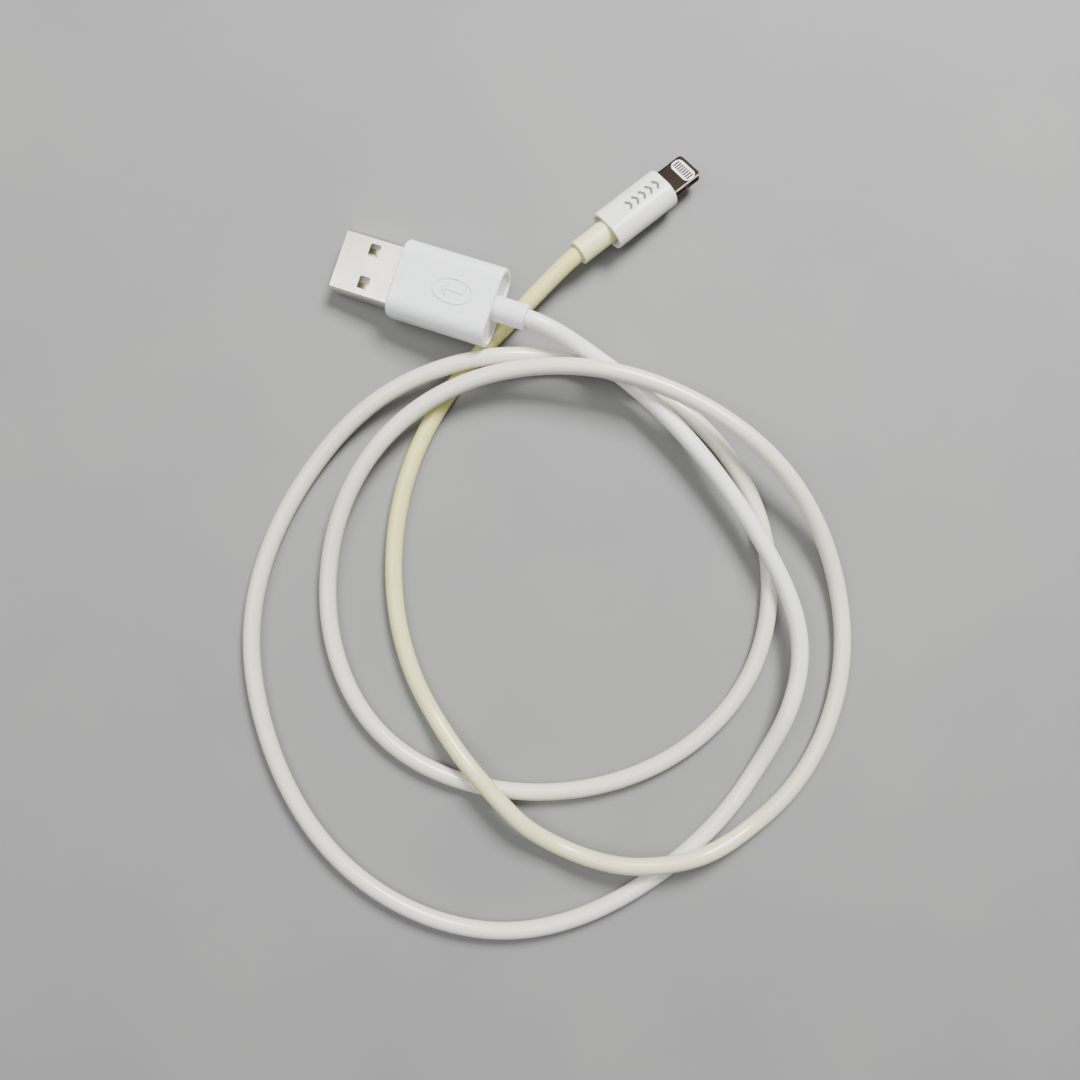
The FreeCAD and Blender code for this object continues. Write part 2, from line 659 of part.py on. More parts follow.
def save_all_cord():
    line = cord_centre_line()
    coil = [
        (USB_LEAD_END, FIRST_LEFT_ARC[0]),
        (FIRST_LEFT_ARC[1], SECOND_LEFT_ARC[0]),
        (SECOND_LEFT_ARC[1], OUTER_LOOP[0]),
        (OUTER_LOOP[1], PHONE_LEAD_START),
    ]
    save_cord(line, "coil", coil)
    save_cord(line, "left_arcs", [FIRST_LEFT_ARC, SECOND_LEFT_ARC])
    save_cord(line, "outer_loop", [OUTER_LOOP])
    save_lead(line, "usb_lead", 0.0, USB_LEAD_END)
    save_lead(line, "phone_lead", PHONE_LEAD_START, line.length)


def main():
    os.makedirs("parts", exist_ok=True)
    save_usb_plug()
    save_phone_plug()
    save_all_cord()


main()
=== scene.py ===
"""Looks for the charging cable: a smooth cord, finishes for both plugs, floor, light and camera."""
import json

import bpy
import numpy as np
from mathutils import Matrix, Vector
from mathutils.bvhtree import BVHTree


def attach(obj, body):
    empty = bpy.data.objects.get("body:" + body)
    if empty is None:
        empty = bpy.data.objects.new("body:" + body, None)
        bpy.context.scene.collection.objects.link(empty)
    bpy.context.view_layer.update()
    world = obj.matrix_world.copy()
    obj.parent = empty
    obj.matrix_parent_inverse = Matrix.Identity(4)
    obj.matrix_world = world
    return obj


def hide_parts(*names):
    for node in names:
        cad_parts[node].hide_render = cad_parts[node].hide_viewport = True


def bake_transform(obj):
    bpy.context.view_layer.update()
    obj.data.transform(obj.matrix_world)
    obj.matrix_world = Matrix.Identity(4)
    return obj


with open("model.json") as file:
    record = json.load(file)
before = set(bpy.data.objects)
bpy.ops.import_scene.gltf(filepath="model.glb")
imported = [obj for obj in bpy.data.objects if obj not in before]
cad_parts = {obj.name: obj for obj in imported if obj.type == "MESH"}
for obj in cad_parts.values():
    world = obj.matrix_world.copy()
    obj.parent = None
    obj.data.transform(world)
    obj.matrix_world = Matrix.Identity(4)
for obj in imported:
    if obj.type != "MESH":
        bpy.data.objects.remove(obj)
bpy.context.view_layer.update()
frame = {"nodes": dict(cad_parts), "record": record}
NODES = frame["nodes"]
MOUNTS = {m["name"]: m for m in frame["record"]["mounts"]}
MM = 0.001

# ------------------------------------------------------------------------------------ sizes of the cord
# radii of the jacket, of the bore inside it, of the braid, and of the ring on which the wires lie
CORD_RADIUS = 1.65 * MM
JACKET_BORE = 1.25 * MM
BRAID_RADIUS = 1.14 * MM
WIRE_RING = 0.55 * MM

# the four wires' radii, in their order round the cord; the first is this many degrees up from its left side
THICK_WIRE = {"insulation": 0.36 * MM, "copper": 0.17 * MM}
THIN_WIRE = {"insulation": 0.30 * MM, "copper": 0.11 * MM}
WIRES = {"red": THICK_WIRE, "white": THIN_WIRE, "green": THIN_WIRE, "black": THICK_WIRE}
FIRST_WIRE_AT = 135

# points round each layer; a hidden layer follows only every second point of the middle line
JACKET_POINTS = 36
BRAID_POINTS = 16
INSULATION_POINTS = 10
COPPER_POINTS = 6
HIDDEN_STEP = 2

# the cord's two short leads, and the bodies of the two plugs
LEADS = ("usb_lead", "phone_lead")
PLUG_BODIES = ("usb_plug", "phone_plug")

# how the cord's middle line is felt out
JACKETS = [name for name in NODES if name.endswith("_jacket") and "end" not in name]
TRACE_STEP = 1.0 * MM
FEELERS = 12
FEELER_REACH = 1.5 * JACKET_BORE
CENTRING_PASSES = 3
SMOOTHING_PASSES = 3
MOST_POINTS = 2000

# ----------------------------------------------------------------------------------- sizes of the marks
# the arrow in a ring on the A-type plug, measured from the housing's front face
MARK_PLACE = -12.0 * MM
RING_RADII = (3.9 * MM, 2.3 * MM)
RING_POINTS = 72
ARROW_REACH = 2.2 * MM
BARB_END = (1.0 * MM, 1.1 * MM)
RAISED = {"width": 0.50 * MM, "height": 0.15 * MM, "sunk": 0.05 * MM}

# the chevrons on the phone plug, measured from the housing's front face
CHEVRON_PLACES = np.linspace(-9.0, -2.4, 5) * MM
CHEVRON_LENGTH = 0.75 * MM
CHEVRON_HALF_WIDTH = 1.05 * MM
PRINTED = {"width": 0.52 * MM, "height": 0.012 * MM, "sunk": 0.02 * MM}

# points along a straight stroke and across any stroke, and how wide a stroke's free end is beside the rest
STROKE_POINTS = 8
RIDGE_POINTS = 9
NARROW_END = 0.55

# ----------------------------------------------------------------------------- floor, lights and camera
FLOOR_REACH = 4.0
KEY_LIGHT = {"place": (0.20, 0.38, 0.50), "size": 0.22, "power": 11.0}
OVERHEAD_LIGHT = {"place": (-0.28, 0.05, 0.80), "size": 0.60, "power": 5.5}
SKY_COLOUR = (0.95, 0.97, 1.0, 1.0)
SKY_STRENGTH = 0.28
CAMERA_PLACE = (-1.35 * MM, 1.6 * MM, 212 * MM)
LENS_MM = 36.0
SENSOR_MM = 36.0
NEAREST_SEEN = 5 * MM


# ---------------------------------------------------------------------------- the two plugs' own frames
def vertices(name):
    """The points of a CAD node, as an array."""
    mesh = NODES[name].data
    flat = np.empty(len(mesh.vertices) * 3, np.float32)
    mesh.vertices.foreach_get("co", flat)
    return flat.reshape(-1, 3).astype(float)


class Plug:
    """A plug's own axes: x towards the tip, y across, z up, from the middle of the housing's front face."""

    def __init__(self, prefix):
        self.prefix = prefix
        mount = MOUNTS[prefix + "_plug_insert"]
        x = np.array(mount["axis"], float)
        z = self.middle("_shield_upper") - self.middle("_shield_lower")
        z -= x * (z @ x)
        z /= np.linalg.norm(z)
        self.axes = np.array([x, np.cross(z, x), z])
        tip = np.array(mount["pos_m"], float)
        front = ((vertices(prefix + "_housing") - tip) @ x).max()
        self.origin = tip + x * front

    def middle(self, ending):
        """The middle of the box round one of the plug's nodes."""
        points = vertices(self.prefix + ending)
        return (points.min(0) + points.max(0)) / 2

    def size(self, ending):
        """Lowest and highest corner of one of the plug's nodes along the plug's own axes."""
        local = (vertices(self.prefix + ending) - self.origin) @ self.axes.T
        return local.min(0), local.max(0)

    def place(self, points):
        """Points from the plug's own frame to the cable's."""
        return np.asarray(points, float) @ self.axes + self.origin


usb = Plug("usb")
phone = Plug("phone")


# ------------------------------------------------------------------------------- the cord's middle line
def trace_cord(start, heading, end):
    """The cord's middle line, felt out from inside the CAD jackets' bore, from one boot to the other."""
    skin = skin_tree(JACKETS)
    line = [np.array(start)]
    ahead = np.array(heading, float)
    while np.linalg.norm(line[-1] - end) > 1.5 * TRACE_STEP and len(line) < MOST_POINTS:
        guess = line[-1] + ahead * TRACE_STEP
        for _ in range(CENTRING_PASSES):
            guess = guess + towards_middle(skin, guess, ahead)
        moved = guess - line[-1]
        moved /= np.linalg.norm(moved)
        # the next step goes on turning as this one did
        ahead = 1.5 * moved - 0.5 * ahead
        ahead /= np.linalg.norm(ahead)
        line.append(guess)
    return np.array(line + [np.array(end)])


def skin_tree(names):
    """The surfaces of CAD nodes, ready to be felt with rays."""
    points, faces = [], []
    for name in names:
        mesh = NODES[name].data
        start = len(points)
        points += [v.co for v in mesh.vertices]
        faces += [[start + i for i in p.vertices] for p in mesh.polygons]
    return BVHTree.FromPolygons(points, faces)


def towards_middle(skin, guess, ahead):
    """How far to move, across the heading, to be in the middle of the bore around."""
    left = np.cross([0.0, 0.0, 1.0], ahead)
    left /= np.linalg.norm(left)
    plane = np.array([left, np.cross(ahead, left)])
    outward, excess = [], []
    for turn in np.linspace(0, 2 * np.pi, FEELERS, endpoint=False):
        direction = np.array([np.cos(turn), np.sin(turn)])
        touched, _, _, distance = skin.ray_cast(Vector(guess), Vector(direction @ plane), FEELER_REACH)
        if touched is not None:
            outward.append(direction)
            excess.append(distance - JACKET_BORE)
    if len(outward) < FEELERS / 2:
        return np.zeros(3)
    return np.linalg.lstsq(np.array(outward), np.array(excess), rcond=None)[0] @ plane


def smoothed(line, passes):
    """A line with its small wobbles taken out; the ends stay."""
    line = line.copy()
    for _ in range(passes):
        line[1:-1] = 0.25 * line[:-2] + 0.5 * line[1:-1] + 0.25 * line[2:]
    return line


def travelled(line):
    """The distance along a line of each of its points."""
    return np.r_[0, np.cumsum(np.linalg.norm(np.diff(line, axis=0), axis=1))]


def resampled(line, step):
    """The same line with evenly spaced points."""
    distance = travelled(line)
    stations = np.linspace(0, distance[-1], int(round(distance[-1] / step)) + 1)
    return np.array([np.interp(stations, distance, line[:, k]) for k in range(3)]).T


def directions(line):
    """Unit vectors to the left and upward at each point of a line."""
    ahead = np.gradient(line, axis=0)
    ahead /= np.linalg.norm(ahead, axis=1)[:, None]
    left = np.cross([0.0, 0.0, 1.0], ahead)
    left /= np.linalg.norm(left, axis=1)[:, None]
    return left, np.cross(ahead, left)


# --------------------------------------------------------------------------------- procedural finishes
class Finish:
    """A material made of nodes, all in the object's own metres."""

    def __init__(self, name):
        self.material = bpy.data.materials.new(name)
        self.material.use_nodes = True
        self.tree = self.material.node_tree
        self.shader = self.tree.nodes["Principled BSDF"]
        self.coords = self.node("ShaderNodeTexCoord").outputs["Object"]

    def node(self, kind, **inputs):
        """A new node with some of its inputs set."""
        made = self.tree.nodes.new(kind)
        for key, value in inputs.items():
            made.inputs[key].default_value = value
        return made

    def link(self, source, target):
        self.tree.links.new(source, target)

    def noise(self, size, detail=4.0, stretch=(1, 1, 1)):
        """Noise whose features are about size metres across, longer along a stretched axis."""
        mapping = self.node("ShaderNodeMapping")
        mapping.inputs["Scale"].default_value = [1 / s for s in stretch]
        self.link(self.coords, mapping.inputs["Vector"])
        made = self.node("ShaderNodeTexNoise", Scale=1 / size, Detail=detail, Roughness=0.55)
        self.link(mapping.outputs["Vector"], made.inputs["Vector"])
        return made.outputs["Fac"]

    def attribute(self, name):
        """A number that the mesh holds at each of its points."""
        made = self.node("ShaderNodeAttribute")
        made.attribute_name = name
        return made.outputs["Fac"]

    def band(self, source, low, high, to_low=0.0, to_high=1.0):
        """source between low and high, spread out from to_low to to_high and held at both ends."""
        made = self.node("ShaderNodeMapRange")
        made.inputs["From Min"].default_value = low
        made.inputs["From Max"].default_value = high
        made.inputs["To Min"].default_value = to_low
        made.inputs["To Max"].default_value = to_high
        self.link(source, made.inputs["Value"])
        return made.outputs["Result"]

    def mix(self, share, first, second):
        """A colour between two, by share. A colour is a tuple or another node's output."""
        made = self.node("ShaderNodeMix")
        made.data_type = "RGBA"
        colour_inputs = [s for s in made.inputs if s.type == "RGBA"]
        for slot, value in zip(colour_inputs, (first, second)):
            if isinstance(value, tuple):
                slot.default_value = (*value, 1.0)
            else:
                self.link(value, slot)
        if isinstance(share, float):
            made.inputs[0].default_value = share
        else:
            self.link(share, made.inputs[0])
        return [s for s in made.outputs if s.type == "RGBA"][0]

    def math(self, operation, first, second):
        """Arithmetic on two numbers, each a float or another node's output."""
        made = self.node("ShaderNodeMath")
        made.operation = operation
        for slot, value in zip(made.inputs, (first, second)):
            if isinstance(value, float):
                slot.default_value = value
            else:
                self.link(value, slot)
        return made.outputs["Value"]

    def edges(self, radius):
        """1 near a sharp outer edge, 0 on open faces."""
        bevel = self.node("ShaderNodeBevel", Radius=radius)
        geometry = self.node("ShaderNodeNewGeometry")
        dot = self.node("ShaderNodeVectorMath")
        dot.operation = "DOT_PRODUCT"
        self.link(bevel.outputs["Normal"], dot.inputs[0])
        self.link(geometry.outputs["Normal"], dot.inputs[1])
        return self.band(dot.outputs["Value"], 0.80, 0.99, 1.0, 0.0)

    def bump(self, source, depth, strength=1.0, under=None):
        """The surface's direction, raised by up to depth where source is high, over another such bump."""
        made = self.node("ShaderNodeBump", Strength=strength, Distance=depth)
        self.link(source, made.inputs["Height"])
        if under:
            self.link(under, made.inputs["Normal"])
        return made.outputs["Normal"]

    def set(self, **inputs):
        """Joins outputs to, or sets values of, the shader's inputs; an underscore stands for a space."""
        for key, value in inputs.items():
            slot = self.shader.inputs[key.replace("_", " ")]
            if isinstance(value, bpy.types.NodeSocket):
                self.link(value, slot)
            elif isinstance(value, tuple) and len(value) == 3 and slot.type == "RGBA":
                slot.default_value = (*value, 1.0)
            else:
                slot.default_value = value


def moulded(name, colour, worn, roughness):
    """Moulded plastic: slight mottling, fine grain, dulled edges and a little grime."""
    finish = Finish(name)
    mottle = finish.band(finish.noise(4 * MM, 3.0), 0.35, 0.7)
    specks = finish.band(finish.noise(0.55 * MM, 2.0), 0.66, 0.76)
    tint = finish.mix(finish.math("MULTIPLY", mottle, 0.5), colour, worn)
    tint = finish.mix(finish.math("MULTIPLY", specks, 0.35), tint, worn)
    tint = finish.mix(finish.math("MULTIPLY", finish.edges(0.25 * MM), 0.4), tint, worn)
    shine = finish.band(finish.noise(2.5 * MM, 5.0), 0.3, 0.75, roughness - 0.06, roughness + 0.12)
    dents = finish.bump(finish.noise(6 * MM, 2.0), 0.02 * MM, 0.5)
    grain = finish.bump(finish.noise(0.35 * MM, 2.0), 0.004 * MM, 0.6, dents)
    finish.set(Base_Color=tint, Roughness=shine, Normal=grain)
    finish.set(Subsurface_Weight=0.12, Subsurface_Radius=(1.0, 0.9, 0.75), Subsurface_Scale=0.6 * MM)
    return finish.material


def cord_finish():
    """The cord's satin jacket: white at one end, gone cream at the other, a little soiled all over."""
    finish = Finish("cord_jacket_satin")
    white = (0.79, 0.79, 0.775)
    off_white = (0.70, 0.67, 0.565)
    cream = (0.74, 0.69, 0.27)
    amber = (0.61, 0.55, 0.16)
    soiled = (0.50, 0.46, 0.38)
    along = finish.attribute("along")
    patches = finish.band(finish.noise(9 * MM, 3.0), 0.35, 0.68)
    tint = finish.mix(finish.math("MULTIPLY", patches, 0.35), white, off_white)
    tint = finish.mix(finish.band(along, 0.04, 0.25), tint, off_white)
    yellow = finish.mix(finish.band(finish.noise(3.5 * MM, 4.0), 0.38, 0.72), cream, amber)
    yellow = finish.mix(0.55, cream, yellow)
    tint = finish.mix(finish.band(along, 0.74, 0.94), tint, yellow)
    specks = finish.band(finish.noise(0.5 * MM, 2.0), 0.68, 0.78)
    tint = finish.mix(finish.math("MULTIPLY", specks, 0.4), tint, soiled)
    shine = finish.band(finish.noise(3 * MM, 5.0), 0.3, 0.75, 0.22, 0.38)
    waves = finish.bump(finish.noise(5 * MM, 2.0), 0.03 * MM, 0.5)
    grain = finish.bump(finish.noise(0.25 * MM, 2.0), 0.006 * MM, 0.6, waves)
    finish.set(Base_Color=tint, Roughness=shine, Normal=grain)
    finish.set(Subsurface_Weight=0.08, Subsurface_Radius=(1.0, 0.85, 0.6), Subsurface_Scale=0.6 * MM)
    finish.set(Coat_Weight=0.3, Coat_Roughness=0.16)
    return finish.material


def metal(name, colour, dark, roughness, stretch=(1, 1, 1), wear=0.3):
    """Plated metal: a fine brushed grain, a few hairline scratches, dull spots and bright edges."""
    finish = Finish(name)
    clouds = finish.band(finish.noise(5 * MM, 3.0), 0.35, 0.7)
    spots = finish.band(finish.noise(0.7 * MM, 3.0), 0.68, 0.74)
    scratches = finish.band(finish.noise(0.35 * MM, 1.0, (9, 0.35, 1)), 0.70, 0.76)
    marks = finish.math("MAXIMUM", spots, scratches)
    tint = finish.mix(finish.math("MULTIPLY", clouds, 0.5 * wear), colour, dark)
    tint = finish.mix(finish.math("MULTIPLY", marks, wear), tint, dark)
    bright = tuple(min(1.0, c * 1.15) for c in colour)
    tint = finish.mix(finish.math("MULTIPLY", finish.edges(0.12 * MM), 0.7), tint, bright)
    uneven = finish.math("ADD", finish.math("MULTIPLY", clouds, 0.5), finish.math("MULTIPLY", marks, 0.5))
    shine = finish.band(uneven, 0.0, 1.0, roughness - 0.04, roughness + 0.12)
    pits = finish.bump(marks, -0.01 * MM, wear)
    brushed = finish.bump(finish.noise(0.12 * MM, 2.0, stretch), 0.0012 * MM, 0.5, pits)
    finish.set(Base_Color=tint, Metallic=1.0, Roughness=shine, Normal=brushed)
    return finish.material


def woven(name, colour):
    """Braided wires: two crossing families of fine bands, with painted shade darkening the grooves between
    them.
    """
    finish = Finish(name)
    bands = []
    for tilt in (0.8, -0.8):
        turn = finish.node("ShaderNodeMapping")
        turn.inputs["Rotation"].default_value = (0.0, 0.0, tilt)
        finish.link(finish.coords, turn.inputs["Vector"])
        wave = finish.node("ShaderNodeTexWave", Scale=1 / (2.2 * MM), Distortion=0.4)
        finish.link(turn.outputs["Vector"], wave.inputs["Vector"])
        bands.append(wave.outputs["Fac"])
    height = finish.math("MAXIMUM", *bands)
    # painted shade: the colour falls to half in the low grooves between the bands
    dark = tuple(0.5 * c for c in colour)
    finish.set(Base_Color=finish.mix(height, dark, colour), Metallic=1.0, Roughness=0.38)
    finish.set(Normal=finish.bump(height, 0.05 * MM, 0.7))
    return finish.material


def streaked(name, colour, metallic=0.0, roughness=0.4):
    """Small pieces: slightly uneven colour and shine."""
    finish = Finish(name)
    uneven = finish.band(finish.noise(0.8 * MM, 3.0), 0.3, 0.7)
    dark = tuple(0.7 * c for c in colour)
    finish.set(Base_Color=finish.mix(finish.math("MULTIPLY", uneven, 0.5), colour, dark), Metallic=metallic)
    finish.set(Roughness=finish.band(uneven, 0.0, 1.0, roughness - 0.08, roughness + 0.12))
    finish.set(Normal=finish.bump(finish.noise(0.2 * MM, 2.0), 0.004 * MM, 0.5))
    return finish.material


FINISHES = {
    "jacket_white": cord_finish(),
    "housing_white": moulded("housing_white", (0.815, 0.83, 0.85), (0.72, 0.72, 0.71), 0.30),
    "housing_aged": moulded("housing_aged", (0.80, 0.795, 0.765), (0.70, 0.67, 0.56), 0.30),
    "boot_white": moulded("boot_white", (0.80, 0.805, 0.81), (0.70, 0.70, 0.68), 0.36),
    "boot_aged": moulded("boot_aged", (0.79, 0.76, 0.44), (0.68, 0.63, 0.26), 0.38),
    "insulator_white": moulded("insulator_white", (0.84, 0.84, 0.81), (0.72, 0.71, 0.66), 0.36),
    "inner_plastic": moulded("inner_plastic", (0.74, 0.74, 0.71), (0.62, 0.61, 0.57), 0.42),
    "plated_shell": metal("plated_shell", (0.95, 0.92, 0.82), (0.62, 0.57, 0.46), 0.30, (6, 1, 1), 0.45),
    "tab_metal": metal("tab_metal", (0.06, 0.044, 0.036), (0.025, 0.02, 0.017), 0.34, (5, 1, 1), 0.6),
    "contact_gold": metal("contact_gold", (0.90, 0.79, 0.55), (0.60, 0.48, 0.28), 0.25),
    "contact_dulled": metal("contact_dulled", (0.035, 0.03, 0.025), (0.015, 0.013, 0.01), 0.42, wear=0.6),
    "shield_tin": metal("shield_tin", (0.66, 0.66, 0.64), (0.45, 0.45, 0.43), 0.32),
    "crimp_brass": metal("crimp_brass", (0.72, 0.60, 0.34), (0.45, 0.36, 0.2), 0.3),
    "braid_tin": woven("braid_tin", (0.68, 0.68, 0.66)),
    "copper": streaked("copper", (0.72, 0.36, 0.20), 1.0, 0.3),
    "board_green": streaked("board_green", (0.05, 0.22, 0.11), 0.0, 0.35),
    "chip_black": streaked("chip_black", (0.035, 0.035, 0.04), 0.0, 0.45),
    "wire_red": streaked("wire_red", (0.50, 0.03, 0.025)),
    "wire_white": streaked("wire_white", (0.78, 0.78, 0.76)),
    "wire_green": streaked("wire_green", (0.03, 0.30, 0.08)),
    "wire_black": streaked("wire_black", (0.02, 0.02, 0.02)),
    "print_grey": streaked("print_grey", (0.11, 0.11, 0.105), 0.0, 0.5),
}

# nodes that have aged more than others with the same material slot
WORN_NODES = {
    "phone_housing": "housing_aged",
    "phone_contacts_upper": "contact_dulled",
    "phone_contacts_lower": "contact_dulled",
}

# one jacket finish for the whole cord: it yellows along the way
CORD_FINISH = FINISHES["jacket_white"]
FINISHES["jacket_aged"] = CORD_FINISH


def dress_cad_nodes():
    """Gives every CAD node the finish of its material slot."""
    for part in frame["record"]["subparts"]:
        finish = WORN_NODES.get(part["node"], part["material_slot"])
        slots = NODES[part["node"]].data.materials
        slots.clear()
        slots.append(FINISHES[finish])


# ------------------------------------------------------------------------------------------- the cord
def add_piece(name, points, faces, material, body=None):
    """A smooth mesh piece from points in the cable's frame, riding on a body if one is given."""
    mesh = bpy.data.meshes.new(name)
    mesh.from_pydata([tuple(p) for p in points], [], faces)
    mesh.validate()
    mesh.polygons.foreach_set("use_smooth", [True] * len(mesh.polygons))
    mesh.materials.append(material)
    piece = bpy.data.objects.new(name, mesh)
    bpy.context.scene.collection.objects.link(piece)
    if body:
        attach(piece, body)
    return piece


def tube(line, axes, radius, count, aside=0.0, above=0.0, capped=(False, False)):
    """Points, faces and outward directions of a round tube beside a line; count points make each ring."""
    left, upward = axes
    turn = 2 * np.pi * np.arange(count) / count
    outward = np.cos(turn)[None, :, None] * left[:, None] + np.sin(turn)[None, :, None] * upward[:, None]
    middle = line + aside * left + above * upward
    points = (middle[:, None] + radius * outward).reshape(-1, 3)
    faces = []
    for i in range(len(line) - 1):
        for k in range(count):
            a, b = i * count + k, i * count + (k + 1) % count
            faces.append((a, b, b + count, a + count))
    if capped[0]:
        faces.append(tuple(reversed(range(count))))
    if capped[1]:
        faces.append(tuple(range(len(points) - count, len(points))))
    return points, faces, outward.reshape(-1, 3)


class Cord:
    """The cord's middle line, the cuts between its stretches, and the CAD body each stretch moves with."""

    def __init__(self):
        start = usb.place([(usb.size("_boot")[0][0], 0, 0)])[0]
        end = phone.place([(phone.size("_boot")[0][0], 0, 0)])[0]
        traced = trace_cord(start, -usb.axes[0], end)
        self.line = resampled(smoothed(traced, SMOOTHING_PASSES), TRACE_STEP)
        owners = self.nearest_jackets()
        changes = [i for i in range(1, len(owners)) if owners[i] != owners[i - 1]]
        self.cuts = [0] + changes + [len(owners) - 1]
        between = [owners[i].removesuffix("_jacket") for i in self.cuts[:-1]]
        self.bodies = ["usb_plug"] + between + ["phone_plug"]

    def nearest_jackets(self):
        """The name of the CAD jacket that lies nearest each point of the line."""
        trees = {name: skin_tree([name]) for name in JACKETS}
        return [min(JACKETS, key=lambda name: trees[name].find_nearest(Vector(p))[3]) for p in self.line]


def build_cord(cord):
    """The cord's layers as smooth tubes, in pieces that run from the middle of one stretch to the next."""
    inside_usb, inside_phone = straight_part(usb), straight_part(phone)[::-1]
    whole = np.concatenate([inside_usb[:-1], cord.line, inside_phone[1:]])
    left, upward = directions(whole)
    offset = len(inside_usb) - 1
    share = travelled(whole) / travelled(whole)[-1]
    middles = [(a + b) // 2 for a, b in zip(cord.cuts, cord.cuts[1:])]
    for k in range(len(cord.cuts)):
        first = middles[k - 1] + offset if k > 0 else 0
        last = middles[k] + offset if k < len(middles) else len(whole) - 1
        bodies = cord.bodies[k], cord.bodies[k + 1]
        run = np.arange(first, last + 1)
        capped = (k == 0, k == len(middles))
        layer = tube(whole[run], (left[run], upward[run]), CORD_RADIUS, JACKET_POINTS, capped=capped)
        add_jacket(k, layer, np.repeat(share[run], JACKET_POINTS), bodies)
        outside = run[(run >= offset) & (run <= offset + len(cord.line) - 1)]
        hidden = np.r_[outside[:-1:HIDDEN_STEP], outside[-1]]
        add_hidden_layers(k, whole[hidden], (left[hidden], upward[hidden]), bodies)


def straight_part(plug):
    """The middle line of the cord's end inside a plug, from its inner end to the boot's mouth."""
    inner_end = plug.size("_end_jacket")[1][0]
    mouth = plug.size("_boot")[0][0]
    count = int((inner_end - mouth) / TRACE_STEP)
    return plug.place([(x, 0, 0) for x in np.linspace(inner_end, mouth, count)])


def add_jacket(k, layer, share, bodies):
    """One piece of the jacket, which knows how far along the cord each of its points is."""
    points, faces, outward = layer
    piece = add_piece(f"cord_jacket_{k + 1}", points, faces, CORD_FINISH)
    piece.data.normals_split_custom_set_from_vertices([tuple(n) for n in outward])
    piece.data.attributes.new("along", "FLOAT", "POINT").data.foreach_set("value", share.astype(np.float32))
    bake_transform(piece)
    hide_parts(*[jacket_node(body) for body in bodies])


def jacket_node(body):
    """The CAD node of a body's jacket."""
    if body in PLUG_BODIES:
        return body.removesuffix("_plug") + "_end_jacket"
    return body + "_jacket"


def add_hidden_layers(k, line, axes, bodies):
    """The braid, the four wires and their copper, which stop where the plugs' own pieces begin."""
    layers = [("braid", "braid_tin", BRAID_RADIUS, BRAID_POINTS, (0.0, 0.0))]
    for index, (colour, radii) in enumerate(WIRES.items()):
        turn = np.radians(FIRST_WIRE_AT + 90 * index)
        place = WIRE_RING * np.cos(turn), WIRE_RING * np.sin(turn)
        wire = "wire_" + colour
        layers.append((wire, wire, radii["insulation"], INSULATION_POINTS, place))
        layers.append(("core_" + colour, "copper", radii["copper"], COPPER_POINTS, place))
    stretches = [body for body in bodies if body not in PLUG_BODIES]
    for name, finish, radius, count, place in layers:
        points, faces, _ = tube(line, axes, radius, count, *place)
        piece = add_piece(f"cord_{name}_{k + 1}", points, faces, FINISHES[finish])
        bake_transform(piece)
        nodes = [layer_node(body, name) for body in stretches if layer_node(body, name)]
        if nodes:
            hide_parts(*nodes)


def layer_node(body, name):
    """The CAD node that holds a body's braid, wire or copper, or None where the CAD has none."""
    if name.startswith("core"):
        return None if body in LEADS else body + "_copper_cores"
    if name.startswith("wire") and body in LEADS:
        return body + "_wires"
    return body + "_" + name


# ------------------------------------------------------------------------------ marks on the housings
def stroke(path, width, height, sunk, closed=False):
    """Points and faces of a low rounded ridge that follows a path on a flat face at z = 0."""
    path = np.asarray(path, float)
    ahead = np.roll(path, -1, 0) - np.roll(path, 1, 0) if closed else np.gradient(path, axis=0)
    ahead /= np.linalg.norm(ahead, axis=1)[:, None]
    side = np.c_[-ahead[:, 1], ahead[:, 0]]
    points = []
    for i, (point, across) in enumerate(zip(path, side)):
        fullness = 1.0 if closed or 0 < i < len(path) - 1 else NARROW_END
        for u in np.linspace(-1, 1, RIDGE_POINTS):
            z = height * np.sqrt(1 - u ** 4) if abs(u) < 1 else -sunk
            points.append((*(point + across * u * fullness * width / 2), z))
    faces = []
    for i in range(len(path) if closed else len(path) - 1):
        here = i * RIDGE_POINTS
        there = ((i + 1) % len(path)) * RIDGE_POINTS
        for k in range(RIDGE_POINTS):
            after = (k + 1) % RIDGE_POINTS
            faces.append((here + k, there + k, there + after, here + after))
    if not closed:
        faces.append(tuple(range(RIDGE_POINTS)))
        faces.append(tuple(reversed(range(len(points) - RIDGE_POINTS, len(points)))))
    return np.array(points), faces


def straight_stroke(start, end, style):
    """A ridge from one point to another."""
    return stroke(np.linspace(start, end, STROKE_POINTS), **style)


def joined(parts):
    """Several (points, faces) as one."""
    points, faces, start = [], [], 0
    for more_points, more_faces in parts:
        points.append(more_points)
        faces += [tuple(start + i for i in face) for face in more_faces]
        start += len(more_points)
    return np.concatenate(points), faces


def add_usb_mark():
    """A raised arrow in an oval ring on the top of the A-type plug's housing, pointing to the tip."""
    turn = np.linspace(0, 2 * np.pi, RING_POINTS, endpoint=False)
    ring = np.c_[RING_RADII[0] * np.cos(turn), RING_RADII[1] * np.sin(turn)]
    tip, tail = (ARROW_REACH, 0.0), (-ARROW_REACH, 0.0)
    parts = [stroke(ring, closed=True, **RAISED), straight_stroke(tail, tip, RAISED)]
    for side in (1, -1):
        parts.append(straight_stroke((BARB_END[0], side * BARB_END[1]), tip, RAISED))
    points, faces = joined(parts)
    points += (MARK_PLACE, 0.0, usb.size("_housing")[1][2])
    finish = "housing_white"
    add_piece("usb_raised_mark", usb.place(points), faces, FINISHES[finish], "usb_plug")


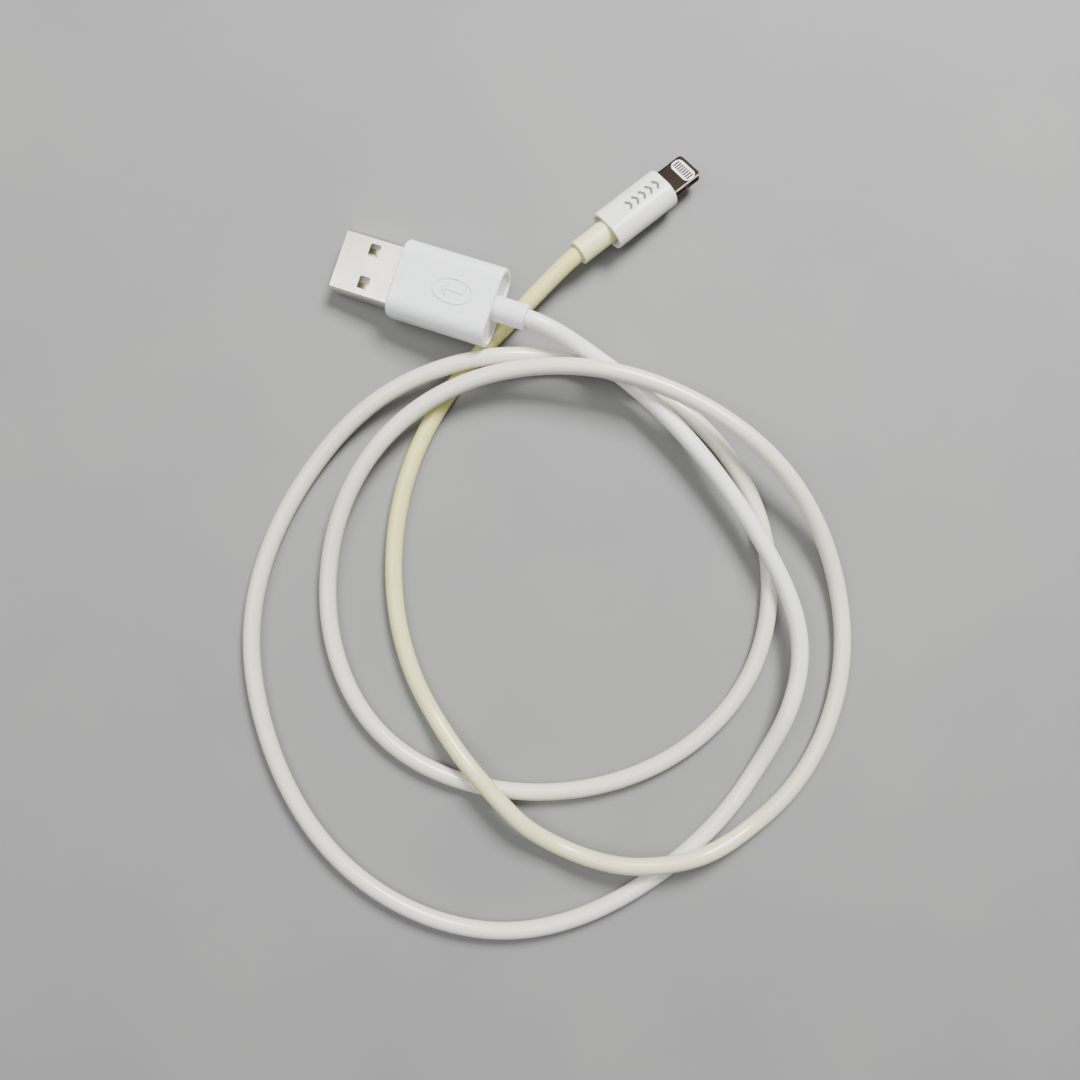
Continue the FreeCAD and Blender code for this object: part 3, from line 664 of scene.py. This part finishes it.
def add_phone_print():
    """A row of grey chevrons printed along the phone plug's upper face."""
    parts = []
    for x in CHEVRON_PLACES:
        point = (x + CHEVRON_LENGTH, 0.0)
        for side in (-1, 1):
            parts.append(straight_stroke((x, side * CHEVRON_HALF_WIDTH), point, PRINTED))
    points, faces = joined(parts)
    points += (0.0, 0.0, phone.size("_housing")[1][2])
    add_piece("phone_printed_mark", phone.place(points), faces, FINISHES["print_grey"], "phone_plug")


# ------------------------------------------------------------------------------ floor, light and camera
def add_floor():
    """A plain pale surface under the cable."""
    r = FLOOR_REACH
    finish = Finish("floor_pale")
    patches = finish.band(finish.noise(50 * MM, 3.0), 0.3, 0.7)
    finish.set(Base_Color=finish.mix(patches, (0.19, 0.192, 0.19), (0.21, 0.21, 0.205)), Roughness=0.75)
    mesh = bpy.data.meshes.new("floor")
    mesh.from_pydata([(-r, -r, 0), (r, -r, 0), (r, r, 0), (-r, r, 0)], [], [(0, 1, 2, 3)])
    mesh.materials.append(finish.material)
    floor = bpy.data.objects.new("floor", mesh)
    bpy.context.scene.collection.objects.link(floor)


def add_light(name, place, size, power):
    """A square lamp aimed at the middle of the cable."""
    data = bpy.data.lights.new(name, "AREA")
    data.size = size
    data.energy = power
    light = bpy.data.objects.new(name, data)
    light.location = place
    light.rotation_euler = (-Vector(place)).to_track_quat("-Z", "Y").to_euler()
    bpy.context.scene.collection.objects.link(light)


def set_sky():
    """Soft light from all round."""
    sky = bpy.data.worlds.new("soft_world")
    sky.use_nodes = True
    background = sky.node_tree.nodes["Background"]
    background.inputs["Color"].default_value = SKY_COLOUR
    background.inputs["Strength"].default_value = SKY_STRENGTH
    bpy.context.scene.world = sky


def add_camera():
    """Straight above the coil, the top of the picture towards +Y."""
    data = bpy.data.cameras.new("camera")
    data.lens = LENS_MM
    data.sensor_width = SENSOR_MM
    data.clip_start = NEAREST_SEEN
    camera = bpy.data.objects.new("camera", data)
    camera.location = CAMERA_PLACE
    bpy.context.scene.collection.objects.link(camera)
    bpy.context.scene.camera = camera


dress_cad_nodes()
build_cord(Cord())
add_usb_mark()
add_phone_print()
add_floor()
add_light("key", **KEY_LIGHT)
add_light("overhead", **OVERHEAD_LIGHT)
set_sky()
add_camera()
